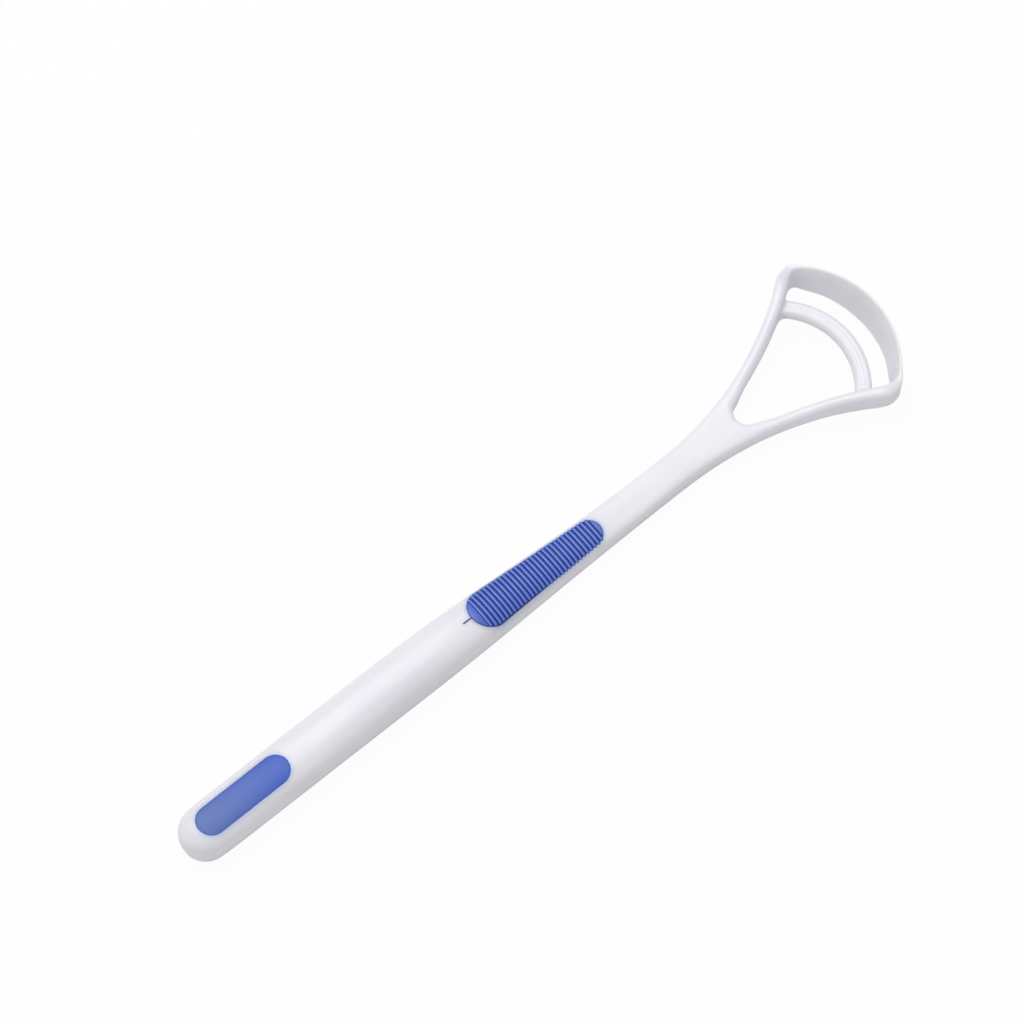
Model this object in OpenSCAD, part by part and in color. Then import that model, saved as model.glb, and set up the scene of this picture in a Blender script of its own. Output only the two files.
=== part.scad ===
// Two-shot tongue scraper: a stiff white moulding with a long handle, a slim neck and a forked
// head that carries a thin curved scraping band and a rounded inner bar, and two soft insets,
// a ribbed thumb grip and a smooth tail inlay, seated in pockets in the top of the handle.
// The tool lies on its flat underside along X, with the head at +X. The origin is on the
// resting plane, halfway along the tool. Stations called s are measured from the tail end.

/* [Handle] */
// Length of the full handle, from the tail end to where it starts to taper
handle_len = 50; // [44:1:70]
// Length of the taper that carries the thumb grip
taper_len = 62; // [58:1:80]
// Length of the slim neck between the taper and the fork
neck_len = 16; // [10:1:30]
// Width of the full handle
handle_w = 11.5; // [11:0.1:14]
// Thickness of the handle at the tail
tail_h = 9.2; // [8:0.1:11]
// Thickness of the handle at its thickest, where the taper starts
belly_h = 10; // [8:0.1:12]
// Width of the neck
neck_w = 7.5; // [7:0.1:9]
// Thickness of the neck
neck_h = 5.6; // [4.8:0.1:7]
// Depth by which the rounded underside is flattened to rest on a table
flat_depth = 0.3; // [0.2:0.05:0.6]

/* [Fork] */
// Length of the fork, from the end of the neck to the head's corners
fork_len = 44.2; // [40:0.2:52]
// Width across the head's corners
head_w = 37; // [33:0.5:42]
// Width of an arm at its root in the neck
root_w = 3.1; // [2.6:0.1:3.5]
// Width of an arm halfway out
arm_w = 2.6; // [2:0.1:3]
// Width of an arm where it turns into the band
corner_w = 2.9; // [2.4:0.1:3.6]
// Height of an arm halfway out
arm_h = 5.6; // [4.4:0.1:6.4]
// Height of an arm where it turns into the band
corner_h = 8.2; // [7:0.1:9.5]
// Height by which the head's corners are lifted above the resting plane
head_lift = 4; // [2:0.1:7]
// Length over which the level underside bends up into the climb to the head
lift_bend = 5; // [3:0.5:8]
// Distance from the end of the neck to the bottom of the throat between the arms
throat_depth = 16.6; // [14:0.1:20]
// Radius of the throat between the arms
throat_r = 3; // [2.4:0.1:3.4]

/* [Scraping band] */
// Distance from the middle of the head's corners to the front of the band
band_bulge = 9.8; // [8:0.1:12]
// Height of the band
band_h = 8.6; // [6:0.1:10]
// Thickness of the band along its lower edge
band_foot_t = 1.6; // [1.2:0.1:1.8]
// Thickness of the band along its upper, scraping edge
band_edge_t = 0.8; // [0.7:0.1:1.2]
// Distance by which the upper edge leans out past the lower edge
band_lean = 0.5; // [0:0.1:0.8]
// Rounding of the band's edges
band_round = 0.3; // [0.1:0.05:0.33]

/* [Inner bar] */
// Distance from the head's corners back to where the bar joins the arms
bar_setback = 5; // [4:0.1:6]
// Distance from those joints to the middle of the bar at its front
bar_bulge = 6.3; // [4.5:0.1:7]
// Width of the bar
bar_w = 3.4; // [2.6:0.1:3.8]
// Height of the bar
bar_h = 3.4; // [2.8:0.1:4]
// Height of the bar's underside above the band's lower edge
bar_raise = 1; // [0:0.1:1.5]
// Rounding of the bar's section
bar_round = 1.2; // [0.6:0.1:1.25]
// Number of fine ridges along the top of the bar
bar_ridges = 3; // [0:1:3]
// Radius of each ridge
ridge_r = 0.25; // [0.15:0.05:0.3]
// Distance between neighbouring ridges
ridge_pitch = 0.8; // [0.6:0.05:0.85]

/* [Thumb grip] */
// Distance from the front end of the grip to the end of the taper
grip_gap = 4.4; // [4:0.1:12]
// Length of the grip
grip_len = 33.8; // [24:0.2:34]
// Width of the grip at its rear end
grip_rear_w = 8.8; // [6:0.1:9]
// Width of the grip at its front end
grip_front_w = 6; // [4:0.1:6.8]
// Depth of the grip's pocket
grip_depth = 1.3; // [0.8:0.1:1.8]
// Number of ribs across the grip
rib_count = 31; // [10:1:34]
// Height of the ribs' tops above the surface of the handle
rib_proud = 0.3; // [0.1:0.05:0.5]
// Depth of the grooves between the ribs
groove_depth = 0.4; // [0.2:0.05:0.6]
// Length of the plain rim at either end of the ribs
plain_rim = 1.5; // [1.4:0.1:3]
// Length of the feed line that leaves the grip's rear end towards the tail
feed_len = 2.1; // [1:0.1:4]
// Width of the feed line
feed_w = 0.35; // [0.3:0.05:0.8]
// Depth of the feed line
feed_depth = 0.4; // [0.2:0.05:0.8]

/* [Tail inlay] */
// Distance from the tail end to the inlay
inlay_start = 4.3; // [3.5:0.1:8]
// Length of the inlay
inlay_len = 22.2; // [14:0.2:30]
// Width of the inlay
inlay_w = 6.7; // [4:0.1:7.4]
// Depth of the inlay's pocket
inlay_depth = 1.2; // [0.8:0.1:1.8]
// Depth by which the inlay's face lies below the surface of the handle
inlay_set_in = 0.1; // [0:0.05:0.3]

/* [Hidden] */

// Overrun by which every cut passes the surface that it opens
over = 1;
// Bond line left between a soft inset and its pocket
bond = 0.05;
// Radius of the fillets where the bar and the band meet the arms
fillet_r = 1.2;
// Depth by which one shape is sunk where it grows out of another
sink = 0.06;

// Exponent of the handle's section, a superellipse
section_power = 2.6;
// Exponent that rounds the height of the tail more tightly than its width
tail_power = 0.5;
// Angle round the tail at which its first section lies, just off the very end
tail_tip_turn = 2;
// Share of the fork behind the point where the arms are thinnest
waist_share = 0.5;
// Length of the solid web around the throat, as a share of the throat's radius
web_share = 1.7;
// Angle of the band's arc that the blend into each corner takes up, and of its last slice
corner_turn = 6;
slice_turn = 1;
// Shares of the rib pitch at which a rib's flat top starts and ends
crest_shares = [0.25, 0.75];

// Numbers of facets: round a section, along the handle, round the tail, along an arm and its
// fillets, round an edge, round posts, on full arcs, and across, round the ends and along the
// middle of an inset
section_facets = 32;
handle_steps = 34;
tail_steps = 6;
arm_steps = 10;
fillet_steps = 4;
edge_steps = 4;
post_facets = 24;
arc_facets = 72;
inset_columns = 6;
end_steps = 9;
middle_steps = 12;

// Stations along the tool
neck_start = handle_len + taper_len;
fork_start = neck_start + neck_len;
corner_s = fork_start + fork_len;
tip_s = corner_s + band_bulge;
bar_s = corner_s - bar_setback;
throat_s = fork_start + throat_depth + throat_r;
web_end_s = throat_s + web_share * throat_r;
grip_s = neck_start - grip_gap - grip_len;
tail_r = handle_w / 2;

// Centre lines of the arms, and arcs of the band and of the bar
root_y = (neck_w - root_w) / 2;
corner_y = (head_w - corner_w) / 2;
arm_arc_r = (fork_len ^ 2 + (corner_y - root_y) ^ 2) / (2 * (corner_y - root_y));
band_r = (band_bulge ^ 2 + corner_y ^ 2 - (corner_w / 2) ^ 2) / (2 * band_bulge - corner_w);
band_centre = tip_s - band_r;
band_angle = atan2(corner_y, corner_s - band_centre);
bar_r = (arm_y(bar_s) ^ 2 + bar_bulge ^ 2) / (2 * bar_bulge);
bar_centre = bar_s + bar_bulge - bar_r;
bar_angle = atan2(arm_y(bar_s), bar_s - bar_centre);

// Value that eases from a to b while t goes from 0 to 1
function ease(a, b, t) = let (u = max(0, min(1, t))) a + (b - a) * u * u * (3 - 2 * u);
// Power that keeps the sign of its base
function signed_power(v, p) = sign(v) * abs(v) ^ p;

// Distance of an arm's centre line from the axis, the arm's heading, and its radius
function arm_run(s) = max(0, s - fork_start);
function arm_y(s) = root_y + arm_arc_r - sqrt(arm_arc_r ^ 2 - arm_run(s) ^ 2);
function arm_heading(s) = asin(arm_run(s) / arm_arc_r);
function along_arm(root, waist, corner, s) = let (t = (s - fork_start) / fork_len)
    t < waist_share
        ? ease(root, waist, t / waist_share)
        : ease(waist, corner, (t - waist_share) / (1 - waist_share));
function arm_r(s) = along_arm(root_w, arm_w, corner_w, s) / 2;

// Height of the underside: level along the handle, then a soft bend into a steady climb
function bend_rise(run) = run <= 0 ? 0 : sqrt(run ^ 2 + lift_bend ^ 2) - lift_bend;
function underside(s) = head_lift * bend_rise(s - fork_start) / bend_rise(fork_len);
head_slope = head_lift / bend_rise(fork_len) * fork_len / sqrt(fork_len ^ 2 + lift_bend ^ 2);

// Thickness and half width of the tool at station s
function thickness(s) =
    s < handle_len ? ease(tail_h, belly_h, s / handle_len)
    : s < fork_start ? ease(belly_h, neck_h, (s - handle_len) / taper_len)
    : along_arm(neck_h, arm_h, corner_h, s);
function half_width(s) = s < fork_start
    ? ease(handle_w, neck_w, (s - handle_len) / taper_len) / 2
    : arm_y(s) + arm_r(s) / cos(arm_heading(s));
// Share of the full width that the round end of the tail leaves
function tail_share(s) = s >= tail_r ? 1 : sqrt(max(0, 1 - (1 - s / tail_r) ^ 2));

// Depth to which the underside is flattened, and half of the section's height before that
function flat_cut(s) = ease(flat_depth, 0, (s - neck_start) / neck_len);
function half_height(s) = (thickness(s) + flat_cut(s)) / 2;
// Height of the handle's top surface at station s and distance y from the axis
function top_z(s, y) = let (share = min(1, abs(y) / (half_width(s) * tail_share(s))))
    half_height(s) * (1 + tail_share(s) ^ tail_power
        * (1 - share ^ section_power) ^ (1 / section_power)) - flat_cut(s);

// One ring of the handle: a superellipse that turns into a rounded box towards the fork
function handle_ring(s, share) = let (
        half_h = half_height(s),
        half_w = half_width(s),
        r = arm_r(s),
        p = 2 / section_power,
        turn = (s - neck_start) / neck_len
    )
    [for (i = [0 : section_facets - 1]) let (a = 360 * i / section_facets) [
        s,
        ease(half_w * share * signed_power(cos(a), p), (half_w - r) * sign(cos(a)) + r * cos(a), turn),
        underside(s) + max(0, half_h - flat_cut(s) + ease(
            half_h * share ^ tail_power * signed_power(sin(a), p),
            (half_h - r) * sign(sin(a)) + r * sin(a), turn))
    ]];

// Closed skin over a list of rings that all have the same number of points
module loft(rings) {
    count = len(rings[0]);
    last = len(rings) - 1;
    sides = [for (i = [0 : last - 1], j = [0 : count - 1])
        let (a = i * count, b = a + count, k = (j + 1) % count)
            each [[a + k, a + j, b + k], [b + k, a + j, b + j]]];
    rear = [for (j = [0 : count - 1]) j];
    front = [for (j = [count - 1 : -1 : 0]) last * count + j];
    polyhedron([for (r = rings) each r], concat([rear, front], sides));
}

// Round tail, straight handle, taper, neck and web of the fork in one skin
module handle_and_neck() {
    tail = [for (i = [0 : tail_steps - 1]) let (a = i == 0 ? tail_tip_turn : 90 * i / tail_steps)
        handle_ring(tail_r * (1 - cos(a)), sin(a))];
    length = web_end_s - tail_r;
    rest = [for (i = [0 : handle_steps]) handle_ring(tail_r + length * i / handle_steps, 1)];
    loft(concat(tail, rest));
}

// Outline of the throat, widened by a given amount, at a given height above the underside
function throat_ring(wider, height) = let (
        reach = web_end_s + over,
        r = throat_r + wider,
        y = arm_y(reach) - arm_r(reach) / cos(arm_heading(reach)) + wider,
        touch = atan2(y, reach - throat_s) + acos(r / norm([reach - throat_s, y])),
        outline = concat(
            [for (i = [0 : post_facets]) let (a = touch + (360 - 2 * touch) * i / post_facets)
                [throat_s + r * cos(a), r * sin(a)]],
            [[reach, -y], [reach, y]])
    )
    [for (p = outline) [p[0], p[1], underside(p[0]) + height]];

// Opening between the arms, whose rims are rounded as the arms are
module throat_cut() {
    r = arm_r(web_end_s);
    top = thickness(web_end_s);
    lower = [for (i = [0 : edge_steps]) let (a = 90 * i / edge_steps)
        throat_ring(r * (1 - sin(a)), r * (1 - cos(a)))];
    upper = [for (i = [0 : edge_steps]) let (a = 90 * i / edge_steps)
        throat_ring(r * (1 - cos(a)), top - r * (1 - sin(a)))];
    loft(concat([throat_ring(r, -over)], lower, upper, [throat_ring(r, top + over)]));
}

// One arm: upright rounded sections swept along its arc, and a round post at the corner
function arm_ring(s, sunk) = let (
        r = arm_r(s) - sunk,
        half = thickness(s) / 2,
        heading = arm_heading(s)
    )
    [for (i = [0 : post_facets - 1]) let (a = 360 * i / post_facets, across = r * cos(a)) [
        s - across * sin(heading),
        arm_y(s) + across * cos(heading),
        underside(s) + half + (half - sunk - r) * sign(sin(a)) + r * sin(a)
    ]];
module arm() {
    root_s = web_end_s - over;
    step = (corner_s - web_end_s) / arm_steps;
    loft(concat(
        [arm_ring(root_s, sink), arm_ring(web_end_s, sink)],
        [for (i = [1 : arm_steps]) arm_ring(web_end_s + i * step, 0)]));
}

// Corner of the head: a round post at the arm's end, blended into the end of the band
module corner() {
    r = corner_w / 2 - sink;
    hull() {
        for (z = [sink + r, corner_h - sink - r])
            translate([corner_s, corner_y, head_lift + z]) sphere(r, $fn = post_facets);
        on_head_slope() band_sweep(band_angle - corner_turn, slice_turn, sink);
    }
}

// The head goes on climbing at the slope of the arms' ends, while its walls stay upright
module on_head_slope() {
    multmatrix([
        [1, 0, 0, 0],
        [0, 1, 0, 0],
        [head_slope, 0, 1, head_lift - head_slope * corner_s],
        [0, 0, 0, 1]
    ]) children();
}

// Thin curved band between the corners, thicker at its foot and leaning outwards
module band_section(sunk) {
    offset(r = band_round - sunk, $fn = post_facets / 2) offset(delta = -band_round)
        polygon([
            [band_r - band_lean - band_foot_t, 0],
            [band_r - band_lean, 0],
            [band_r, band_h],
            [band_r - band_edge_t, band_h]
        ]);
}
module band_sweep(start, turn, sunk) {
    translate([band_centre, 0, 0])
        rotate([0, 0, start])
            rotate_extrude(angle = turn, $fn = arc_facets) band_section(sunk);
}
module scraping_band() {
    half_turn = band_angle - corner_turn + slice_turn / 2;
    band_sweep(-half_turn, 2 * half_turn, 0);
}

// Inner bar: a rounded section with fine ridges along its top, curved from arm to arm
module bar_section() {
    offset(r = bar_round, $fn = post_facets)
        square([bar_w - 2 * bar_round, bar_h - 2 * bar_round], center = true);
    for (i = [0 : 1 : bar_ridges - 1])
        translate([(i - (bar_ridges - 1) / 2) * ridge_pitch, bar_h / 2])
            circle(ridge_r, $fn = post_facets / 2);
}
module inner_bar() {
    translate([bar_centre, 0, bar_raise + bar_h / 2])
        rotate([0, 0, -bar_angle])
            rotate_extrude(angle = 2 * bar_angle, $fn = arc_facets)
                translate([bar_r, 0]) bar_section();
}

// Fillets where a curved wall meets the arms: the plan of both, with its inner corners
// filled, lies sunk in them everywhere else
module arms_plan(start_s) {
    step = (corner_s - start_s) / fillet_steps;
    for (side = [-1, 1], i = [0 : fillet_steps - 1]) hull()
        for (s = [start_s + i * step, start_s + (i + 1) * step])
            translate([s, side * arm_y(s)]) circle(arm_r(s), $fn = post_facets);
}
module wall_plan(start_s, centre_s, inner_r, wall) {
    intersection() {
        translate([centre_s, 0]) difference() {
            circle(inner_r + wall, $fn = arc_facets);
            circle(inner_r, $fn = arc_facets);
        }
        translate([start_s, -arm_y(start_s)]) square([tip_s - start_s, 2 * arm_y(start_s)]);
    }
}
module fillets(bottom, height, start_s, centre_s, inner_r, wall) {
    translate([0, 0, bottom + sink])
        linear_extrude(height - 2 * sink)
            offset(r = -fillet_r - 2 * sink, $fn = 2 * post_facets) offset(delta = fillet_r) {
                arms_plan(start_s - 2 * corner_w);
                wall_plan(start_s, centre_s, inner_r, wall);
            }
}
module head() {
    on_head_slope() {
        scraping_band();
        inner_bar();
        fillets(bar_raise + bar_round, bar_h - 2 * bar_round,
            bar_s, bar_centre, bar_r - bar_w / 2, bar_w);
        fillets(corner_w / 2, corner_h - corner_w,
            corner_s, band_centre, band_r - band_lean - band_foot_t, band_foot_t);
    }
}

// Half width at station s of a stadium outline with a different radius at either end
function stadium_half(s, start, length, rear_r, front_r) = let (
        rear_s = start + rear_r,
        front_s = start + length - front_r,
        tilt = asin((rear_r - front_r) / (front_s - rear_s)),
        rear_touch = rear_s + rear_r * sin(tilt),
        front_touch = front_s + front_r * sin(tilt),
        t = (s - rear_touch) / (front_touch - rear_touch)
    )
    t <= 0 ? sqrt(max(0, rear_r ^ 2 - (s - rear_s) ^ 2))
    : t >= 1 ? sqrt(max(0, front_r ^ 2 - (s - front_s) ^ 2))
    : (rear_r * (1 - t) + front_r * t) * cos(tilt);
// Stations that follow the round ends of such an outline, and cross its middle
function stadium_stations(start, length, rear_r, front_r) = let (
        middle = (length - rear_r - front_r) / middle_steps
    )
    concat(
        [for (i = [1 : end_steps]) start + rear_r * (1 - cos(90 * i / end_steps))],
        [for (i = [1 : middle_steps - 1]) start + rear_r + i * middle],
        [for (i = [end_steps : -1 : 1]) start + length - front_r * (1 - cos(90 * i / end_steps))]);

// Ring of an inset or a pocket: both faces follow the crown of the handle
function inset_ring(s, half, rise, depth) = let (
        columns = [for (j = [0 : inset_columns]) half * (1 - 2 * j / inset_columns)]
    )
    concat(
        [for (y = columns) [s, y, top_z(s, y) + rise]],
        [for (y = columns) [s, -y, top_z(s, y) - depth]]);

// Feed line behind the thumb grip, widened by a given amount
module feed_line(wider, rise) {
    loft([for (s = [grip_s - feed_len - wider, grip_s - wider, grip_s + plain_rim])
        inset_ring(s, feed_w / 2 + wider, rise, feed_depth + wider)]);
}

// Soft inset with a stadium outline, plain all over
module plain_inset(start, length, rear_r, front_r, rise, depth) {
    loft([for (s = stadium_stations(start, length, rear_r, front_r))
        inset_ring(s, stadium_half(s, start, length, rear_r, front_r), rise, depth)]);
}
// Pocket for such an inset, larger than it by the bond line
module pocket(start, length, rear_r, front_r, depth) {
    plain_inset(start - bond, length + 2 * bond, rear_r + bond, front_r + bond, over, depth + bond);
}

// White moulding: handle, neck, forked arms, scraping band and inner bar in one piece
module body() {
    color("white") translate([-tip_s / 2, 0, 0]) {
        difference() {
            handle_and_neck();
            throat_cut();
            pocket(grip_s, grip_len, grip_rear_w / 2, grip_front_w / 2, grip_depth);
            feed_line(bond, over);
            pocket(inlay_start, inlay_len, inlay_w / 2, inlay_w / 2, inlay_depth);
        }
        for (side = [0, 1]) mirror([0, side, 0]) {
            arm();
            corner();
        }
        head();
    }
}

// Soft thumb grip: straight ribs across a tapering inset, between two plain rims
module thumb_grip() {
    rear_r = grip_rear_w / 2;
    front_r = grip_front_w / 2;
    first = grip_s + plain_rim;
    last = grip_s + grip_len - plain_rim;
    pitch = (last - first) / rib_count;
    plain = stadium_stations(grip_s, grip_len, rear_r, front_r);
    rows = concat(
        [for (s = plain) if (s < first) [s, 0]],
        [for (i = [0 : rib_count - 1]) let (s = first + i * pitch) each [
            [s, rib_proud - groove_depth],
            [s + crest_shares[0] * pitch, rib_proud],
            [s + crest_shares[1] * pitch, rib_proud]
        ]],
        [[last, rib_proud - groove_depth]],
        [for (s = plain) if (s > last) [s, 0]]);
    color("royalblue") translate([-tip_s / 2, 0, 0]) {
        loft([for (row = rows)
            inset_ring(row[0], stadium_half(row[0], grip_s, grip_len, rear_r, front_r), row[1], grip_depth)]);
        feed_line(0, 0);
    }
}

// Soft tail inlay: smooth, and set slightly into the handle
module tail_inlay() {
    color("cornflowerblue") translate([-tip_s / 2, 0, 0])
        plain_inset(inlay_start, inlay_len, inlay_w / 2, inlay_w / 2, -inlay_set_in, inlay_depth);
}

body();
thumb_grip();
tail_inlay();
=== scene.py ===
# %% [markdown]
# # A two-shot tongue scraper
# The tool has three pieces. A stiff white moulding is the handle, the neck and the forked head
# with its thin scraping band. A ribbed thumb grip and a smooth tail inlay of soft blue
# elastomer are moulded into pockets in its top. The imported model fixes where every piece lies,
# so it is loaded first, and all that follows is made in its frame: metres, +X towards the
# head, +Z up, and the floor at zero.

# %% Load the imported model
from math import atan, atan2, copysign, cos, degrees, pi, radians, sin, sqrt

import bmesh
import bpy
from mathutils import Matrix, Vector
from mathutils.bvhtree import BVHTree


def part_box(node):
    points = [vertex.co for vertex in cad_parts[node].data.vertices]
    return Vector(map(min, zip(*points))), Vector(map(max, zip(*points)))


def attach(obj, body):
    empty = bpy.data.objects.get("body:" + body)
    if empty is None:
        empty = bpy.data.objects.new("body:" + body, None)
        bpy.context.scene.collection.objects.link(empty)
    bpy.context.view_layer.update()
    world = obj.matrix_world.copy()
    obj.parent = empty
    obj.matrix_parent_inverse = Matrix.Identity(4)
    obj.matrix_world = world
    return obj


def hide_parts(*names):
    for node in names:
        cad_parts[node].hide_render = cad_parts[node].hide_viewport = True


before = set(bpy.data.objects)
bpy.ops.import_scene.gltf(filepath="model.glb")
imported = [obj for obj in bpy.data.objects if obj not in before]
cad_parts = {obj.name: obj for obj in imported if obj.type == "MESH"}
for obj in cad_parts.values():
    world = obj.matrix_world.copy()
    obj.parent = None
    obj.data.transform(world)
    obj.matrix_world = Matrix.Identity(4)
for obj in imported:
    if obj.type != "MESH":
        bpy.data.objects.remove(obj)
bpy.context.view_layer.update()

MM = 0.001
QUARTER_TURN = radians(90)
tail_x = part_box("body")[0][0]

# %% [markdown]
# ## The tool's own sizes
# A designer draws such a tool from a few sizes and a rule for how the section changes on the
# way. Stations are counted in metres from the tail end. The same rules give the handle, the
# arms and the places of both insets, so that everything still meets if a size changes.

# %% Sizes of the handle and of the fork
handle_len = 50 * MM
taper_len = 62 * MM
neck_len = 16 * MM
fork_len = 44.2 * MM
handle_w = 11.3 * MM
neck_w = 7.5 * MM
tail_h = 9.2 * MM
belly_h = 10.4 * MM
neck_h = 5.6 * MM
flat_depth = 0.3 * MM
head_w = 37 * MM
root_w = 3.1 * MM
arm_w = 2.7 * MM
corner_w = 2.7 * MM
arm_h = 4.5 * MM
corner_h = 6.4 * MM
head_lift = 4 * MM
lift_bend = 5 * MM
arm_bow = 0.3 * MM
arm_raise = 0.4 * MM
# Stations between which the width, the height and the rounding of the section change
narrowing = 58 * MM, 124 * MM
thinning = 56 * MM, 116 * MM
squaring = 92 * MM, 124 * MM

neck_s = handle_len + taper_len
fork_s = neck_s + neck_len
corner_s = fork_s + fork_len
tail_r = handle_w / 2
root_y = (neck_w - root_w) / 2
corner_y = (head_w - corner_w) / 2
arm_arc = (fork_len ** 2 + (corner_y - root_y) ** 2) / (2 * (corner_y - root_y))
print("neck starts at", round(neck_s / MM, 1), "mm, the corners lie at", round(corner_s / MM, 1))

# %% Rules for how the tool changes along its length
WAIST_SHARE = 0.5
SECTION_POWER = 2.7
HEADING_STEP = MM / 10


def ease(a, b, share):
    share = min(1, max(0, share))
    return a + (b - a) * share * share * (3 - 2 * share)


def ease_over(a, b, ends, s):
    return ease(a, b, (s - ends[0]) / (ends[1] - ends[0]))


def along_arm(root, waist, corner, s):
    share = (s - fork_s) / fork_len
    if share < WAIST_SHARE:
        return ease(root, waist, share / WAIST_SHARE)
    return ease(waist, corner, (share - WAIST_SHARE) / (1 - WAIST_SHARE))


def arm_y(s):
    run = min(fork_len, max(0, s - fork_s))
    bowed = arm_bow * sin(pi * run / fork_len) ** 2
    return root_y + arm_arc - sqrt(arm_arc ** 2 - max(0, s - fork_s) ** 2) + bowed


def arm_heading(s):
    return atan((arm_y(s + HEADING_STEP) - arm_y(s - HEADING_STEP)) / (2 * HEADING_STEP))


def arm_r(s):
    return along_arm(root_w, arm_w, corner_w, s) / 2


def bend_rise(run):
    return sqrt(run ** 2 + lift_bend ** 2) - lift_bend if run > 0 else 0


climb = head_lift / bend_rise(fork_len)
head_slope = climb * fork_len / sqrt(fork_len ** 2 + lift_bend ** 2)


def underside(s):
    if s < corner_s:
        lifted = climb * bend_rise(s - fork_s)
        return lifted + arm_raise * sin(pi * max(0, s - fork_s) / fork_len) ** 2
    return head_lift + head_slope * (s - corner_s)


def thickness(s):
    if s < thinning[0]:
        return ease(tail_h, belly_h, s / thinning[0])
    if s < fork_s:
        return ease_over(belly_h, neck_h, thinning, s)
    return along_arm(neck_h, arm_h, corner_h, s)


def half_width(s):
    if s < fork_s:
        return ease_over(handle_w, neck_w, narrowing, s) / 2
    return arm_y(s) + arm_r(s) / cos(arm_heading(s))


print("heading at the corner:", round(degrees(arm_heading(corner_s)), 1), "degrees")

# %% [markdown]
# ## How a ring of the cage is drawn
# The white moulding has no hard edge anywhere but round its pockets, so it is modelled as a
# coarse cage and smoothed by subdivision. Only one side is modelled, and a mirror adds the
# other. The cage is one long pull: the tail's half disc is extruded ring by ring to the
# throat, closed there into the section of one arm, and pulled on round the corner and along
# the band. Every vertex stores the number of its row, which an extruded vertex inherits, and
# that gives its place in the next ring.

# %% Rows of a ring, and the places of a ring of the handle
STEP = 22.5
OUTER_ROWS = 9
OUTER_ANGLES = [-90 + STEP * row for row in range(OUTER_ROWS)]
INNER_ANGLES = [112.5, 135, 157.5, 180, 180, 202.5, 225, 247.5]
ROW_ANGLES = OUTER_ANGLES + INNER_ANGLES
# The rows on the inner wall from which the bar will grow, two of them with heights of their own
BAR_TOP_ROW, BAR_MIDDLE_ROW, BAR_FOOT_ROW = 12, 13, 14
BAR_ROW_SHARES = {BAR_TOP_ROW: 0.7, BAR_MIDDLE_ROW: 0.46}
NEARLY_NOTHING = 1e-9
# Subdivision draws the points of a ring in, so the cage is drawn this much larger
SWELL = 6 / (4 + 2 * cos(radians(STEP)))


def sign(value):
    return 0 if abs(value) < NEARLY_NOTHING else copysign(1, value)


def signed_power(value, power):
    return sign(value) * abs(value) ** power


def handle_ring(s, width_share=1, height_share=1):
    """Half a ring of the handle, from the middle of the underside to the middle of the top"""
    flat = ease(flat_depth, 0, (s - neck_s) / neck_len)
    half_h = (thickness(s) + flat) / 2
    half_w = half_width(s)
    r = arm_r(s)
    places = {}
    for row in range(OUTER_ROWS):
        a = radians(ROW_ANGLES[row])
        y = half_w * width_share * SWELL * signed_power(cos(a), 2 / SECTION_POWER)
        z = half_h * height_share * SWELL * signed_power(sin(a), 2 / SECTION_POWER)
        y = ease_over(y, (half_w - r) * sign(cos(a)) + r * SWELL * cos(a), squaring, s)
        z = ease_over(z, (half_h - r) * sign(sin(a)) + r * SWELL * sin(a), squaring, s)
        places[row] = Vector((tail_x + s, y, underside(s) + max(0, half_h - flat + z)))
    return places


print("rows in a full ring:", len(ROW_ANGLES), "cage swell:", round(SWELL, 4))

# %% Places of a closed ring of the fork, between an inner and an outer line


def towards(a):
    return Vector((cos(a), sin(a)))


def row_height(row, height, r):
    """Height of a row above the foot of a closed section of this height and rounding"""
    if row in BAR_ROW_SHARES:
        return height * BAR_ROW_SHARES[row]
    a = radians(ROW_ANGLES[row])
    return height / 2 + (height / 2 - r) * sign(sin(a)) + r * sin(a)


def fork_ring(foot, top, height, r, rise=0):
    """Places of a closed ring: foot and top are each an (inner, outer) pair of plan points"""
    places = {}
    for row, angle in enumerate(ROW_ANGLES):
        up = row_height(row, height, r)
        inner = foot[0].lerp(top[0], up / height)
        outer = foot[1].lerp(top[1], up / height)
        half = (outer - inner).length / 2
        a = radians(angle)
        across = (half - r) * sign(cos(a)) + r * cos(a)
        at = (inner + outer) / 2 + (outer - inner).normalized() * across
        places[row] = Vector((tail_x + at.x, at.y, underside(at.x) + rise + up))
    return places


def arm_sides(s):
    """Plan points on the inner and the outer side of an arm, in station and width"""
    side = Vector((-sin(arm_heading(s)), cos(arm_heading(s)))) * arm_r(s)
    centre = Vector((s, arm_y(s)))
    return centre - side, centre + side


def arm_ring(s, round_share=1):
    sides = arm_sides(s)
    return fork_ring(sides, sides, thickness(s), round_share * arm_r(s))


print("an arm halfway out is", round(2 * arm_r(fork_s + fork_len / 2) / MM, 2), "mm wide")

# %% [markdown]
# ## Helpers for work in edit mode
# An operator works on all that is selected, and new things arrive selected, so every step
# starts by choosing what it works on. By hand that is done with the mouse. In code, parts of a
# mesh are picked by a rule about their place or normal, which also holds if a size changes.

# %% Helpers that select, extrude and finish


def start_fresh():
    if bpy.context.mode != "OBJECT":
        bpy.ops.object.mode_set(mode="OBJECT")
    bpy.ops.object.select_all(action="DESELECT")


def take_up(piece):
    """Make this piece the one that is selected and active"""
    start_fresh()
    piece.select_set(True)
    bpy.context.view_layer.objects.active = piece


def edit(piece):
    take_up(piece)
    bpy.ops.object.mode_set(mode="EDIT")
    bpy.ops.mesh.select_mode(type="VERT")


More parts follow.
